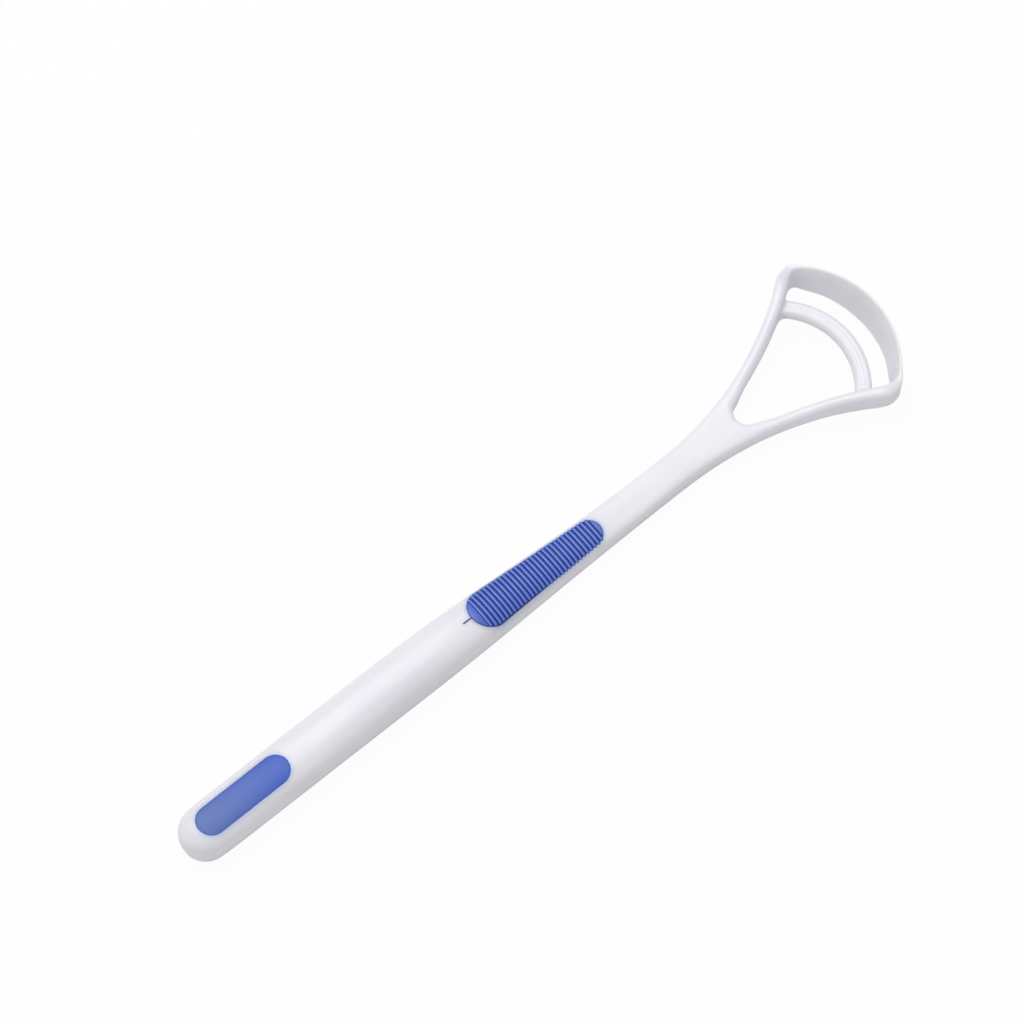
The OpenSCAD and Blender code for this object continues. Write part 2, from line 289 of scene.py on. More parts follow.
def choose(piece, kind, rule):
    """Select the verts, edges or faces of the piece that is in edit mode for which rule holds"""
    bpy.ops.mesh.select_mode(type={"verts": "VERT", "edges": "EDGE", "faces": "FACE"}[kind])
    bpy.ops.mesh.select_all(action="DESELECT")
    mesh = bmesh.from_edit_mesh(piece.data)
    chosen = [part for part in getattr(mesh, kind) if rule(part)]
    for part in chosen:
        part.select_set(True)
    mesh.select_flush_mode()
    bmesh.update_edit_mesh(piece.data)
    return len(chosen)


def middle(part):
    return sum((vertex.co for vertex in part.verts), Vector()) / len(part.verts)


def numbered(piece):
    """The edit mesh of a piece, and the layers with the row and the column of each vertex"""
    mesh = bmesh.from_edit_mesh(piece.data)
    layers = mesh.verts.layers.int
    return mesh, layers["row"], layers["column"]


def face_outwards():
    bpy.ops.mesh.select_all(action="SELECT")
    bpy.ops.mesh.normals_make_consistent(inside=False)


def draw_out(piece, place, column=0):
    """Extrude what is selected, and set every new vertex at its place in the next ring"""
    bpy.ops.mesh.extrude_region_move()
    mesh, rows, columns = numbered(piece)
    for vertex in mesh.verts:
        if vertex.select:
            vertex.co = place(vertex[rows], vertex[columns])
            vertex[columns] = column if column is not None else vertex[columns]
    bmesh.update_edit_mesh(piece.data)


def apply_modifier(piece, kind, **settings):
    take_up(piece)
    modifier = piece.modifiers.new(kind.lower(), kind)
    for name, value in settings.items():
        setattr(modifier, name, value)
    bpy.ops.object.modifier_apply(modifier=modifier.name)


def settle(piece, name):
    """Name a piece and put its place into its mesh, with its object at the origin"""
    take_up(piece)
    bpy.ops.object.transform_apply(location=True, rotation=True, scale=True)
    piece.name = name
    piece.data.name = name
    return piece


print("helpers ready")

# %% [markdown]
# ## The tail, the handle and the neck
# On the real tool this is a long round-ended bar, a superellipse in section: flatter than an
# ellipse on its faces, rounder than a box at its corners. A curve with a bevel could make such
# a bar too, but its section couldn't change shape on the way. So the start is a disc stood on
# edge at the tail and cut in half, and its arc is pulled out in rings. The first ones open up
# quickly to round the tail. The rest are far apart, because a smooth taper needs few of them.

# %% Start from half a disc at the tail
TAIL_ANGLES = [12, 30, 48, 66, 82]
TAIL_HEIGHT_POWER = 0.5


def tail_ring(turn):
    """Half ring at this turn of the tail's rounding, where 90 degrees is its end"""
    a = radians(turn)
    return handle_ring(tail_r * (1 - cos(a)), sin(a), sin(a) ** TAIL_HEIGHT_POWER)


start_fresh()
bpy.ops.mesh.primitive_circle_add(
    vertices=2 * (OUTER_ROWS - 1), radius=tail_r, fill_type="NGON",
    location=(tail_x, 0, tail_h / 2), rotation=(0, QUARTER_TURN, 0))
moulding = settle(bpy.context.object, "white_moulding")
edit(moulding)
bpy.ops.mesh.select_all(action="SELECT")
bpy.ops.mesh.bisect(plane_co=(tail_x, 0, 0), plane_no=(0, 1, 0), clear_inner=True)

cage = bmesh.from_edit_mesh(moulding.data)
row_layer = cage.verts.layers.int.new("row")
cage.verts.layers.int.new("column")
first_ring = tail_ring(TAIL_ANGLES[0])
for vertex in cage.verts:
    angle = degrees(atan2(vertex.co.z - tail_h / 2, max(vertex.co.y, 0)))
    vertex[row_layer] = round((angle + 90) / STEP)
    vertex.co = first_ring[vertex[row_layer]]
bmesh.update_edit_mesh(moulding.data)
print("points of the first half ring:", len(cage.verts))

# %% Pull the half ring along the handle and the neck
HANDLE_STATIONS = [
    10, 18, 30, 42, 50, 58, 66, 74, 82, 90, 98, 105, 112, 117, 122, 127, 131, 135, 138.5, 141.2]
TOUCHING = MM / 1000


def on_middle_plane(part):
    return all(abs(vertex.co.y) < TOUCHING for vertex in part.verts)


def pull_to(ring, column=0):
    """Extrude the open end of the moulding to the next ring"""
    draw_out(moulding, lambda row, _: ring[row], column)


choose(moulding, "edges", lambda edge: not on_middle_plane(edge))
for turn in TAIL_ANGLES[1:]:
    pull_to(tail_ring(turn))
for station in HANDLE_STATIONS:
    pull_to(handle_ring(station * MM))
print("handle and neck:", len(bmesh.from_edit_mesh(moulding.data).faces), "faces in the half cage")

# %% [markdown]
# ## The throat, where the neck forks
# The two arms leave the neck round a smooth U. A boolean could cut the window between them, but
# its rough edge would spoil the cage. Instead the last half ring of the neck is closed with a
# face whose straight side is the very bottom of the U. That side is cut into the rows of an
# arm's inner wall, and from then on the face itself is extruded: its old straight side stays
# behind and becomes the throat's wall.

# %% Close the half ring and cut its straight side into rows
THROAT_S = 144.5 * MM
THROAT_R = 3 * MM
WALL_SLACK = MM / 10
inner_rows = range(OUTER_ROWS, len(ROW_ANGLES))


def throat_start(row):
    """Place of a row where the throat starts: the wall's rim is rounded towards the neck"""
    s = THROAT_S - arm_r(THROAT_S)
    ring = handle_ring(s)
    if row < OUTER_ROWS:
        return ring[row]
    r = arm_r(s)
    rim = r * abs(cos(radians(ROW_ANGLES[row])))
    return Vector((tail_x + s + rim, 0, underside(s) + row_height(row, thickness(s), r)))


def is_straight_side(edge):
    upright = on_middle_plane(edge) and edge.calc_length() > neck_h / 2
    return upright and middle(edge).x > tail_x + fork_s


pull_to([throat_start(row) for row in range(OUTER_ROWS)])
bpy.ops.mesh.edge_face_add()
choose(moulding, "edges", is_straight_side)
bpy.ops.mesh.subdivide(number_cuts=len(inner_rows))
cage, row_layer, _ = numbered(moulding)
wall_start = throat_start(0).x - WALL_SLACK
on_wall = [
    vertex for vertex in cage.verts if vertex.co.x > wall_start and abs(vertex.co.y) < TOUCHING]
on_wall.sort(key=lambda vertex: -vertex.co.z)
for row, vertex in zip([OUTER_ROWS - 1, *inner_rows, 0], on_wall):
    vertex[row_layer] = row
    vertex.co = throat_start(row)
bmesh.update_edit_mesh(moulding.data)
print("points on the throat's line:", len(on_wall))

# %% Pull the closed section round the throat and out along the arm
# Turns round the throat's inner line, and the station of the arm's outer side for each
THROAT_TURNS = [(36, 145.2), (64, 146.3), (90, 147.9)]
ARM_STATIONS = [150.2, 153, 156.5, 160, 163]


def last_face_only():
    """Select the face that closes the section, which is the one with the most corners"""
    choose(moulding, "faces", lambda face: len(face.verts) == len(ROW_ANGLES))


last_face_only()
for turn, station in THROAT_TURNS:
    a = radians(turn)
    s = station * MM
    inner = Vector((THROAT_S + THROAT_R * (1 - cos(a)), THROAT_R * sin(a)))
    sides = inner, arm_sides(s)[1]
    pull_to(fork_ring(sides, sides, thickness(s), arm_r(s)))
for station in ARM_STATIONS:
    pull_to(arm_ring(station * MM))
print("so far:", len(bmesh.from_edit_mesh(moulding.data).faces), "faces")

# %% [markdown]
# ## The seat of the inner bar, the corner and the band
# The inner bar grows out of the arm's inner wall, so the arm gets one ring for each lengthwise
# line of the bar before it reaches the corner. The corner is a soft bend in which the section
# rises on its foot and grows to the band's height. Past it the section thins to a blade that
# leans out: 1.6 mm at the foot and 0.6 mm at the scraping edge. The band could be a strip bent
# by a curve modifier, but only one unbroken pull gives the corner its flowing form.

# %% Rings at the seat of the bar
bar_setback = 5 * MM
bar_bulge = 6.3 * MM
bar_w = 3.5 * MM
bar_h = 2.6 * MM
bar_raise = 1.6 * MM
bar_s = corner_s - bar_setback
bar_arc = (arm_y(bar_s) ** 2 + bar_bulge ** 2) / (2 * bar_bulge)
bar_centre = Vector((bar_s + bar_bulge - bar_arc, 0))
BAR_COLUMN_SHARES = [-0.5, -0.38, -0.24, -0.12, 0, 0.12, 0.24, 0.38, 0.5]
SEAT_ROUND_SHARE = 0.85
HALVINGS = 30


def station_on_bar(offset):
    """Station at which the arm's inner side meets the bar's line with this offset"""
    low, high = fork_s + fork_len / 2, corner_s
    for _ in range(HALVINGS):
        half_way = (low + high) / 2
        if (arm_sides(half_way)[0] - bar_centre).length < bar_arc + offset:
            low = half_way
        else:
            high = half_way
    return low


for number, share in enumerate(BAR_COLUMN_SHARES, start=1):
    s = station_on_bar(share * bar_w)
    pull_to(arm_ring(s, SEAT_ROUND_SHARE), column=number)
print("the bar leaves the arm from", round(station_on_bar(-bar_w / 2) / MM, 1), "to",
      round(station_on_bar(bar_w / 2) / MM, 1), "mm")

# %% Bend the section round the corner
band_bulge = 9.8 * MM
band_h = 8.6 * MM
band_foot_t = 1.6 * MM
band_edge_t = 0.6 * MM
band_lean = 0.9 * MM
band_round = 0.3 * MM
band_arc = (band_bulge ** 2 + corner_y ** 2 - (corner_w / 2) ** 2) / (2 * band_bulge - corner_w)
band_centre = Vector((corner_s + band_bulge - band_arc, 0))
foot_rise = 1.6 * MM
bend_outer_r = 3.9 * MM
bend_inner_r = 2.4 * MM
bend_forward = 0.05 * MM
bend_inset = 0.25 * MM
bend_inner_shift = Vector((0.4 * MM, -1.6 * MM))
bend_outer_y = corner_y + corner_w / 2 - bend_outer_r - bend_inset
bend_outer_centre = Vector((corner_s + bend_forward, bend_outer_y))
bend_inner_centre = bend_outer_centre + bend_inner_shift
# Direction of each ring, its rounding as a share of its width, how far its foot has risen and
# its top has climbed from the arm's to the band's, and how far its top is drawn in to the rim
BEND_TURNS = [
    (117, 0.42, 0.35, 0.15, 0),
    (98, 0.42, 0.7, 0.5, 0.1),
    (77, 0.42, 1, 0.85, 0.3),
    (56, 0.4, 1, 1, 0.5)]

for turn, round_share, risen, climbed, drawn_in in BEND_TURNS:
    outward = towards(radians(turn))
    foot = bend_inner_centre + outward * bend_inner_r, bend_outer_centre + outward * bend_outer_r
    top = foot[0].lerp(foot[1], drawn_in), foot[1]
    rise = foot_rise * risen
    height = corner_h + (band_h - corner_h) * climbed - rise
    pull_to(fork_ring(foot, top, height, round_share * (top[1] - top[0]).length, rise))
print("the corner reaches", round((corner_y + corner_w / 2) / MM, 2), "mm from the middle")

# %% Pull the blade along the band's arc to the middle
BAND_TURN_SHARES = [0.76, 0.65, 0.53, 0.4, 0.27, 0.135, 0]
LEVEL_FOOT_SHARE = 0.1
rising_turn = BAND_TURN_SHARES[0] - LEVEL_FOOT_SHARE
foot_outer = band_arc - band_lean
band_angle = atan2(corner_y, corner_s - band_centre.x)

for share in BAND_TURN_SHARES:
    outward = towards(share * band_angle)
    foot = band_centre + outward * (foot_outer - band_foot_t), band_centre + outward * foot_outer
    top = band_centre + outward * (band_arc - band_edge_t), band_centre + outward * band_arc
    rise = ease(0, foot_rise, (share - LEVEL_FOOT_SHARE) / rising_turn)
    pull_to(fork_ring(foot, top, band_h - rise, band_round, rise))
bpy.ops.mesh.delete(type="ONLY_FACE")
print("band radius:", round(band_arc / MM, 1), "mm")

# %% [markdown]
# ## The inner bar
# The bar is a second, rounded wiper behind the band, with three soft ridges along its top. It
# could be a tube stuck into the arms, but then a hard line would show at each end. So the faces
# of its seat are extruded out of the arm's wall along the bar's own arc: bar and arm are one
# skin, and the subdivision later gives the joint its small fillet.

# %% Pull the bar out of the arm
BAR_TURN_SHARES = [0.86, 0.76, 0.6, 0.45, 0.3, 0.14, 0]
BAR_TOP_SHARES = [-0.28, -0.04, 0.045, 0, 0.045, 0, 0.045, -0.04, -0.28]
BAR_FOOT_SHARES = [0.22, 0.04, 0, 0, 0, 0, 0, 0.04, 0.22]
BAR_SIDE_SWELL = 1.04
bar_angle = atan2(arm_y(bar_s), bar_s - bar_centre.x)


def bar_place(row, column, a):
    """Place of a vertex of the bar: its column tells how far across, its row how high"""
    offset = BAR_COLUMN_SHARES[column - 1] * bar_w
    up = bar_raise + bar_h / 2
    if row == BAR_TOP_ROW:
        up = bar_raise + bar_h * (1 + BAR_TOP_SHARES[column - 1])
    elif row == BAR_FOOT_ROW:
        up = bar_raise + bar_h * BAR_FOOT_SHARES[column - 1]
    else:
        offset *= BAR_SIDE_SWELL
    at = bar_centre + towards(a) * (bar_arc + offset)
    return Vector((tail_x + at.x, at.y, underside(at.x) + up))


def in_bar_seat(face):
    _, rows, columns = numbered(moulding)
    seat_rows = range(BAR_TOP_ROW, BAR_FOOT_ROW + 1)
    return all(vertex[columns] > 0 and vertex[rows] in seat_rows for vertex in face.verts)


seat_faces = choose(moulding, "faces", in_bar_seat)
for share in BAR_TURN_SHARES:
    a = share * bar_angle
    draw_out(moulding, lambda row, column: bar_place(row, column, a), column=None)
bpy.ops.mesh.delete(type="FACE")
print("faces of the bar's seat:", seat_faces)

# %% [markdown]
# ## Mirror and smooth the moulding
# A two-part tool steel gives the real moulding its mirror plane, and polished steel its smooth
# skin. The mirror joins the two halves along that plane, and subdivision turns the cage into
# the skin. Both are applied, because the pockets are cut into the finished surface.

# %% Mirror and subdivide
SMOOTH_LEVELS = 2
MERGE_WITHIN = MM / 100

bpy.ops.mesh.select_all(action="SELECT")
bpy.ops.mesh.remove_doubles(threshold=TOUCHING)
apply_modifier(
    moulding, "MIRROR", use_axis=(False, True, False), use_mirror_merge=True,
    merge_threshold=MERGE_WITHIN)
edit(moulding)
face_outwards()
start_fresh()
cage_faces = len(moulding.data.polygons)
apply_modifier(moulding, "SUBSURF", levels=SMOOTH_LEVELS, render_levels=SMOOTH_LEVELS)
print("cage", cage_faces, "faces, skin", len(moulding.data.polygons))

skin = bmesh.new()
skin.from_mesh(moulding.data)
skin_tree = BVHTree.FromBMesh(skin)
print("open edges:", sum(not edge.is_manifold for edge in skin.edges))
print("volume:", round(skin.calc_volume() / (10 * MM) ** 3, 2), "cm3")
skin.free()

# %% [markdown]
# ## Soft insets, drawn flat and laid on the handle
# Both insets fill pockets in the crowned top of the handle and follow its surface. A designer
# would draw their outline in plan and project it. Here each piece is modelled flat, with the
# handle's surface as its zero, which keeps every bevel and rib simple. At the end each vertex
# is raised to the height that the smooth skin has right under it.

# %% A flat plate with a stadium outline, and the step that lays it on the handle
OUTLINE_POINTS = 96
LOOK_DOWN_FROM = 50 * MM
SHARP_TURN = radians(60)
LEVEL_SHARE = 0.9
EDGE_SEGMENTS = 3


def crown(x, y):
    """Height of the handle's top surface at this place in plan"""
    return skin_tree.ray_cast(Vector((x, y, LOOK_DOWN_FROM)), Vector((0, 0, -1)))[0].z


def cut_across(stations, columns):
    """Bisect the piece that is in edit mode at each station and at each distance from the axis"""
    cuts = [((tail_x + s, 0, 0), (1, 0, 0)) for s in stations]
    cuts += [((0, y, 0), (0, 1, 0)) for y in columns]
    for place, normal in cuts:
        bpy.ops.mesh.select_all(action="SELECT")
        bpy.ops.mesh.bisect(plane_co=place, plane_no=normal)


def stadium_plate(name, outline, bottom, top, stations, column_count):
    """A disc whose front half is pulled forwards and resized, then cut across and thickened"""
    start, length, rear_r, front_r = outline
    centre = tail_x + start + rear_r
    run = length - rear_r - front_r
    start_fresh()
    bpy.ops.mesh.primitive_circle_add(
        vertices=OUTLINE_POINTS, radius=rear_r, fill_type="NGON", location=(centre, 0, bottom))
    plate = settle(bpy.context.object, name)
    edit(plate)
    choose(plate, "verts", lambda vertex: vertex.co.x > centre + MERGE_WITHIN)
    bpy.ops.transform.translate(value=(run, 0, 0))
    slimming = front_r / rear_r
    bpy.ops.transform.resize(
        value=(slimming, slimming, 1), center_override=(centre + run, 0, bottom))
    widest = max(rear_r, front_r)
    columns = [widest * (2 * i / column_count - 1) for i in range(1, column_count)]
    cut_across(stations, columns)
    bpy.ops.mesh.select_all(action="SELECT")
    bpy.ops.mesh.extrude_region_move(TRANSFORM_OT_translate={"value": (0, 0, top - bottom)})
    face_outwards()
    return plate


def stations_between(start, end, spacing):
    count = max(1, round((end - start) / spacing))
    return [start + (end - start) * i / count for i in range(1, count)]


def is_upper_edge(edge):
    """True for a sharp edge that stands out between a level face and a wall"""
    if len(edge.link_faces) != 2 or not edge.is_convex:
        return False
    most_level = max(face.normal.z for face in edge.link_faces)
    return edge.calc_face_angle() > SHARP_TURN and most_level > LEVEL_SHARE


def round_upper_edges(plate, r):
    count = choose(plate, "edges", is_upper_edge)
    bpy.ops.mesh.bevel(offset=r, segments=EDGE_SEGMENTS, affect="EDGES")
    return count


def lay_on_crown(piece):
    start_fresh()
    for vertex in piece.data.vertices:
        vertex.co.z += crown(vertex.co.x, vertex.co.y)
    piece.data.update()


print("crown of the handle at its thickest:", round(crown(tail_x + handle_len, 0) / MM, 2), "mm")

# %% [markdown]
# ## Pockets in the moulding
# The first shot leaves two pockets that the second shot fills. Insets pushed into an uncut
# skin would look right from afar, but close by the fine line between the two shots would be
# missing. So each pocket is cut with a plate that is a little wider and deeper than its inset,
# and laid on the crown as the inset is.

# %% Cut the pockets
grip_len = 33.8 * MM
grip_gap = 4.4 * MM
grip_s = neck_s - grip_gap - grip_len
grip_rear_r = 4.4 * MM
grip_front_r = 2.9 * MM
grip_outline = grip_s, grip_len, grip_rear_r, grip_front_r
grip_depth = 1.3 * MM
feed_len = 2.1 * MM
feed_w = 0.22 * MM
feed_depth = 0.4 * MM
feed_inside = grip_rear_r / 4
inlay_s = 4.3 * MM
inlay_len = 22.2 * MM
inlay_r = 3.22 * MM
inlay_outline = inlay_s, inlay_len, inlay_r, inlay_r
inlay_depth = 1.2 * MM
bond = 0.05 * MM
over = 1 * MM
POCKET_SPACING = 1.5 * MM
POCKET_COLUMNS = 6
FEED_SPACING = 1 * MM


def combine(piece, tool, operation):
    """Cut a tool out of the piece or weld it on, and throw the tool away"""
    apply_modifier(piece, "BOOLEAN", object=tool, operation=operation, solver="MANIFOLD")
    bpy.data.objects.remove(tool)


def cut_pocket(outline, depth):
    start, length, rear_r, front_r = outline
    wider = start - bond, length + 2 * bond, rear_r + bond, front_r + bond
    cutter = stadium_plate(
        "cutter", wider, -depth - bond, over,
        stations_between(start, start + length, POCKET_SPACING), POCKET_COLUMNS)
    lay_on_crown(cutter)
    combine(moulding, cutter, "DIFFERENCE")


def feed_bar(name, wider, top):
    """Thin bar of the feed line behind the grip, reaching into its pocket"""
    rear, front = grip_s - feed_len - wider, grip_s + feed_inside
    start_fresh()
    bpy.ops.mesh.primitive_cube_add(
        size=1, location=(tail_x + (rear + front) / 2, 0, (top - feed_depth - wider) / 2),
        scale=(front - rear, feed_w + 2 * wider, top + feed_depth + wider))
    bar = settle(bpy.context.object, name)
    edit(bar)
    cut_across(stations_between(rear, front, FEED_SPACING), [0])
    return bar


cut_pocket(grip_outline, grip_depth)
cut_pocket(inlay_outline, inlay_depth)
feed_cutter = feed_bar("feed_cutter", bond, over)
lay_on_crown(feed_cutter)
combine(moulding, feed_cutter, "DIFFERENCE")
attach(moulding, "root")
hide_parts("body")
print("moulding with its pockets:", len(moulding.data.polygons), "faces")

# %% [markdown]
# ## The thumb grip
# The grip is one soft piece: a plate that fills the pocket, a plain rim at either end, and ribs
# across it that give the thumb a hold. An Array modifier could repeat the ribs, but each has a
# length of its own. So one is modelled, as a ball drawn out sideways into a rounded bar, and
# each copy of it gets its length and place. Towards the head their ends reach a little past
# the outline, as soft ribs do that are moulded over an edge.

# %% The plate of the grip with its two plain rims
rear_rim = 1.7 * MM
front_rim = 1.2 * MM
rib_count = 31
rib_proud = 0.3 * MM
groove_depth = 0.4 * MM
first_s = grip_s + rear_rim
last_s = grip_s + grip_len - front_rim
rib_pitch = (last_s - first_s) / rib_count
groove_z = rib_proud - groove_depth
EDGE_ROUND = 0.12 * MM
PLATE_SPACING = 1 * MM
GRIP_COLUMNS = 12


def on_plain_rim(face):
    s = middle(face).x - tail_x
    return face.normal.z > LEVEL_SHARE and not first_s <= s <= last_s


grip = stadium_plate(
    "thumb_grip_skin", grip_outline, -grip_depth, groove_z,
    [first_s, *stations_between(first_s, last_s, PLATE_SPACING), last_s], GRIP_COLUMNS)
rim_faces = choose(grip, "faces", on_plain_rim)
bpy.ops.mesh.extrude_region_move(TRANSFORM_OT_translate={"value": (0, 0, groove_depth)})
edges = round_upper_edges(grip, EDGE_ROUND)
print("rim faces:", rim_faces, "rounded edges:", edges)

# %% One rib
RIB_WIDTH_SHARE = 0.8
RIB_SINK = 0.25 * MM
RIB_SIDES, RIB_RINGS, RIB_PARTS = 16, 12, 6
rib_r = rib_pitch * RIB_WIDTH_SHARE / 2
rib_height = (groove_depth + RIB_SINK) / 2
rib_half = grip_rear_r

start_fresh()
bpy.ops.mesh.primitive_uv_sphere_add(
    segments=RIB_SIDES, ring_count=RIB_RINGS, radius=rib_r, rotation=(QUARTER_TURN, 0, 0))
rib = settle(bpy.context.object, "rib")
edit(rib)
for side in (-1, 1):
    choose(rib, "verts", lambda vertex: vertex.co.y * side > TOUCHING)
    bpy.ops.transform.translate(value=(0, side * (rib_half - rib_r), 0))
cut_across([], [rib_half * i / RIB_PARTS for i in range(1 - RIB_PARTS, RIB_PARTS) if i])
bpy.ops.mesh.select_all(action="SELECT")
bpy.ops.transform.resize(value=(1, 1, rib_height / rib_r), center_override=(0, 0, 0))
bpy.ops.transform.translate(value=(0, 0, rib_proud - rib_height))
print("a rib is", round(2 * rib_r / MM, 2), "mm wide")

# %% A copy of the rib at each place
REAR_REACH = -0.12 * MM
FRONT_REACH = 0.28 * MM
MIDDLE_SHARE = 0.5


def stadium_half(s, outline):
    """Half width of a stadium outline at station s"""
    start, length, rear_r, front_r = outline
    rear_s, front_s = start + rear_r, start + length - front_r
    if s < rear_s:
        return sqrt(max(0, rear_r ** 2 - (s - rear_s) ** 2))
    if s > front_s:
        return sqrt(max(0, front_r ** 2 - (s - front_s) ** 2))
    return rear_r + (front_r - rear_r) * (s - rear_s) / (front_s - rear_s)


ribs = []
for number in range(rib_count):
    s = first_s + (number + MIDDLE_SHARE) * rib_pitch
    # The reach grows over the middle third of the ribs
    reach = ease(REAR_REACH, FRONT_REACH, 3 * number / rib_count - 1)
    half = stadium_half(s, grip_outline) + reach
    take_up(rib)
    bpy.ops.object.duplicate(linked=False)
    copy = bpy.context.object
    copy.scale = (1, half / rib_half, 1)
    copy.location = (tail_x + s, 0, 0)
    ribs.append(settle(copy, f"rib_{number}"))
bpy.data.objects.remove(rib)
take_up(ribs[0])
for rib in ribs:
    rib.select_set(True)
bpy.ops.object.join()
all_ribs = bpy.context.object
print("ribs:", rib_count, "at a pitch of", round(rib_pitch / MM, 2), "mm")

# %% Join plate, ribs and feed line into one skin and lay it on the handle
combine(grip, all_ribs, "UNION")
combine(grip, feed_bar("feed", 0, 0), "UNION")
crest = grip.data.attributes.new("crest", "FLOAT", "POINT")
for vertex, value in zip(grip.data.vertices, crest.data):
    value.value = min(1, max(0, (vertex.co.z - groove_z) / groove_depth))
lay_on_crown(grip)
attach(grip, "root")
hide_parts("thumb_grip")
print("thumb grip:", len(grip.data.polygons), "faces")

# %% [markdown]
# ## The tail inlay
# The inlay is smooth, and lies a tenth of a millimetre below the handle's surface, with a small
# rounded edge all round. That edge and the fine bond line are all that shows of the joint. It
# is made by the same step as the grip's plate, so that both sit on the handle alike.

# %% The plate of the inlay
INLAY_SET_IN = 0.1 * MM
INLAY_COLUMNS = 10

inlay = stadium_plate(
    "tail_inlay_skin", inlay_outline, -inlay_depth, -INLAY_SET_IN,
    stations_between(inlay_s, inlay_s + inlay_len, PLATE_SPACING), INLAY_COLUMNS)
round_upper_edges(inlay, EDGE_ROUND)
lay_on_crown(inlay)
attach(inlay, "root")
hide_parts("tail_inlay")
print("tail inlay:", len(inlay.data.polygons), "faces")

# %% [markdown]
# ## Shading
# A moulded surface is smooth, and its few real edges are the rims of the pockets and of the
# insets. Shading is therefore smoothed only across edges that turn by less than a set angle.

# %% Shade each piece smooth but for its sharp edges
SHARP_ANGLE = radians(38)

for piece in (moulding, grip, inlay):
    take_up(piece)
    bpy.ops.object.shade_smooth_by_angle(angle=SHARP_ANGLE)
print("shaded:", moulding.name, grip.name, inlay.name)

# %% [markdown]
# ## Effects that the finishes share
# The three finishes differ in colour and gloss, but the same things happen to all of them. The
# tool steel leaves a fine grain, the melt leaves faint streaks along its flow, and hands leave
# dull marks. Each effect is one node group with its own inputs, used in every material.

# %% Helpers for node trees


def new_group(name, inputs, outputs):
    """An empty node group with named sockets; returns its tree, its inputs and its results"""
    tree = bpy.data.node_groups.new(name, "ShaderNodeTree")
    for socket, (kind, value) in inputs.items():
        tree.interface.new_socket(socket, in_out="INPUT", socket_type=kind).default_value = value
    for socket, kind in outputs.items():
        tree.interface.new_socket(socket, in_out="OUTPUT", socket_type=kind)
    given = tree.nodes.new("NodeGroupInput").outputs
    results = tree.nodes.new("NodeGroupOutput").inputs
    return tree, given, results


def add_node(tree, kind, links=None, **settings):
    """A node with its properties set, and each named or numbered input linked or given a value"""
    node = tree.nodes.new(kind)
    for name, value in settings.items():
        setattr(node, name, value)
    for socket, source in (links or {}).items():
        if isinstance(source, bpy.types.NodeSocket):
            tree.links.new(source, node.inputs[socket])
        else:
            node.inputs[socket].default_value = source
    return node


def calculate(tree, operation, *values, clamp=False):
    """A Math node; returns its result"""
    links = dict(enumerate(values))
    return add_node(tree, "ShaderNodeMath", links, operation=operation, use_clamp=clamp).outputs[0]


def mix_colours(tree, share, first, second):
    """A Mix node set to colours, whose colour sockets are numbers 6 and 7"""
    links = {0: share, 6: first, 7: second}
    return add_node(tree, "ShaderNodeMix", links, data_type="RGBA").outputs[2]


def spread(tree, value, low, high, to_low=0.0, to_high=1.0):
    """Map a value from one range to another, and stop at the ends"""
    links = {0: value, 1: low, 2: high, 3: to_low, 4: to_high}
    return add_node(tree, "ShaderNodeMapRange", links, clamp=True).outputs[0]


def noise(tree, vector, scale, detail, roughness):
    links = {"Vector": vector, "Scale": scale, "Detail": detail, "Roughness": roughness}
    return add_node(tree, "ShaderNodeTexNoise", links).outputs[0]


def coordinates(tree):
    """Object coordinates, which are the tool's own, as every piece lies at the origin"""
    return add_node(tree, "ShaderNodeTexCoord").outputs["Object"]


def split(tree):
    """The three coordinates one by one"""
    return add_node(tree, "ShaderNodeSeparateXYZ", {0: coordinates(tree)}).outputs


print("node helpers ready")

# %% Moulded grain: fine pits from the tool steel over a slow ripple
PITS_PER_METRE = 5000.0
RIPPLES_PER_METRE = 260.0
RIPPLE_SHARE = 0.5

tree, given, results = new_group(
    "moulded_grain",
    {"Pits per metre": ("NodeSocketFloat", PITS_PER_METRE),
     "Ripple share": ("NodeSocketFloat", RIPPLE_SHARE)},
    {"Height": "NodeSocketFloat"})
place = coordinates(tree)
pits = noise(tree, place, given["Pits per metre"], detail=2.0, roughness=0.6)
ripple = noise(tree, place, RIPPLES_PER_METRE, detail=1.0, roughness=0.4)
rippled = calculate(tree, "MULTIPLY", ripple, given["Ripple share"])
tree.links.new(calculate(tree, "ADD", pits, rippled), results["Height"])
print("group:", tree.name)

# %% Flow tint: streaks of a second colour, drawn out along the tool
STREAKS_PER_METRE = 240.0
STREAK_STRETCH = 0.2
STREAK_RANGE = 0.35, 0.7
PURE_WHITE = (1, 1, 1, 1)

tree, given, results = new_group(
    "flow_tint",
    {"Plain": ("NodeSocketColor", PURE_WHITE), "Streak": ("NodeSocketColor", PURE_WHITE)},
    {"Color": "NodeSocketColor"})
stretched = add_node(tree, "ShaderNodeMapping", {
    "Vector": coordinates(tree), "Scale": (STREAK_STRETCH, 1, 1)}).outputs[0]
streaks = noise(tree, stretched, STREAKS_PER_METRE, detail=3.0, roughness=0.5)
share = spread(tree, streaks, *STREAK_RANGE)
tinted = mix_colours(tree, share, given["Plain"], given["Streak"])
tree.links.new(tinted, results["Color"])
print("group:", tree.name)

# %% Handling marks: a mask of dull patches and fine scuffs
PATCHES_PER_METRE = 60.0
PATCH_RANGE, PATCH_SHARE = (0.5, 0.75), 0.7
SCUFF_RANGE, SCUFF_SHARE = (0.6, 0.75), 0.3
SCUFFS_PER_METRE = 900.0
SCUFF_STRETCH = 0.12
SCUFF_TURN = radians(20)

